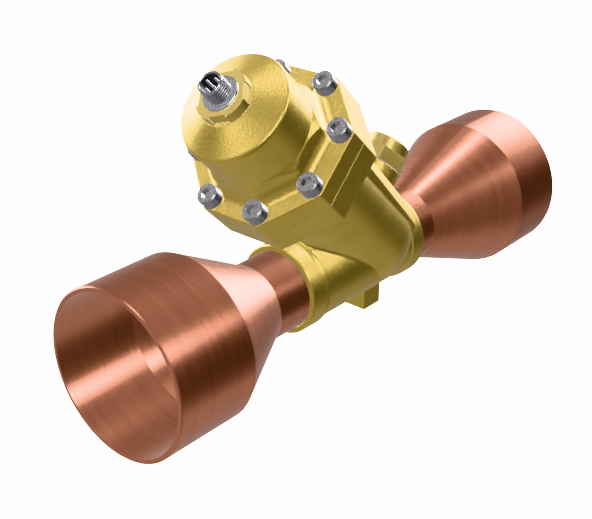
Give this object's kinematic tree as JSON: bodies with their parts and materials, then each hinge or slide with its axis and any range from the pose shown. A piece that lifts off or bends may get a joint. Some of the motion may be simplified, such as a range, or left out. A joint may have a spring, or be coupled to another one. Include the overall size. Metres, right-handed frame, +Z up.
{
  "type": "electronic expansion valve",
  "caption": "Y pattern brass valve with a stepper motor bonnet, round plug connector, sight glass and two copper pipe sockets.",
  "frame": {"origin": "centre of the inlet socket's mouth", "axes": "+X along the pipe from inlet to outlet, +Z up, the bonnet leans back over the inlet at 45 degrees in the XZ plane"},
  "size_m": [0.3068, 0.0844, 0.1646],
  "materials": {
    "cast_brass": "cast, fine grain",
    "turned_brass": "turned",
    "bronze": "sintered",
    "copper": "brushed around the axis",
    "zinc_steel": "zinc plated",
    "nickel": "nickel plated",
    "connector_plastic": "moulded",
    "contact_gold": "gold plated",
    "seal_rubber": "moulded",
    "gasket": "fibre sheet",
    "ptfe": "turned",
    "stainless": "turned",
    "stator_steel": "pressed",
    "winding": "enamelled wire",
    "magnet": "sintered",
    "glass": "polished"
  },
  "bodies": {
    "valve": {"valve_body": "cast_brass", "bonnet": "cast_brass", "ring_nut": "turned_brass", "sight_glass_body": "turned_brass", "upper_bush": "bronze", "lower_bush": "bronze", "inlet_reducer": "copper", "outlet_reducer": "copper", "flange_bolt_1": "zinc_steel", "flange_bolt_2": "zinc_steel", "flange_bolt_3": "zinc_steel", "flange_bolt_4": "zinc_steel", "flange_bolt_5": "zinc_steel", "flange_bolt_6": "zinc_steel", "flange_bolt_7": "zinc_steel", "flange_bolt_8": "zinc_steel", "connector_shell": "nickel", "connector_insert": "connector_plastic", "connector_contacts": "contact_gold", "connector_seal": "seal_rubber", "flange_gasket": "gasket", "sight_glass_seal": "gasket", "guide_pin_1": "stainless", "guide_pin_2": "stainless", "motor_can": "stainless", "motor_carrier": "stainless", "flow_cage": "stainless", "seat_ring": "stainless", "stator_lower": "stator_steel", "stator_upper": "stator_steel", "coil_lower": "winding", "coil_upper": "winding", "sight_glass_lens": "glass"},
    "rotor": {"rotor_screw": "stainless", "rotor_magnet": "magnet"},
    "slide_assembly": {"slide": "turned_brass", "drive_nut": "turned_brass", "slide_seal": "ptfe", "slide_ring": "ptfe"}
  },
  "joints": [
    {"name": "rotor_spin", "type": "hinge", "parent": "valve", "child": "rotor", "pos_m": [0.11033, 0, 0.07177], "axis": [-0.7071, 0, 0.7071], "range_deg": [0, 6881]},
    {"name": "slide_lift", "type": "slide", "parent": "valve", "child": "slide_assembly", "axis": [-0.7071, 0, 0.7071], "range_m": [0, 0.0172]}
  ],
  "couplings": [
    {"joint": "rotor_spin", "follows": "slide_lift", "rad_per_m": 6981.3}
  ]
}
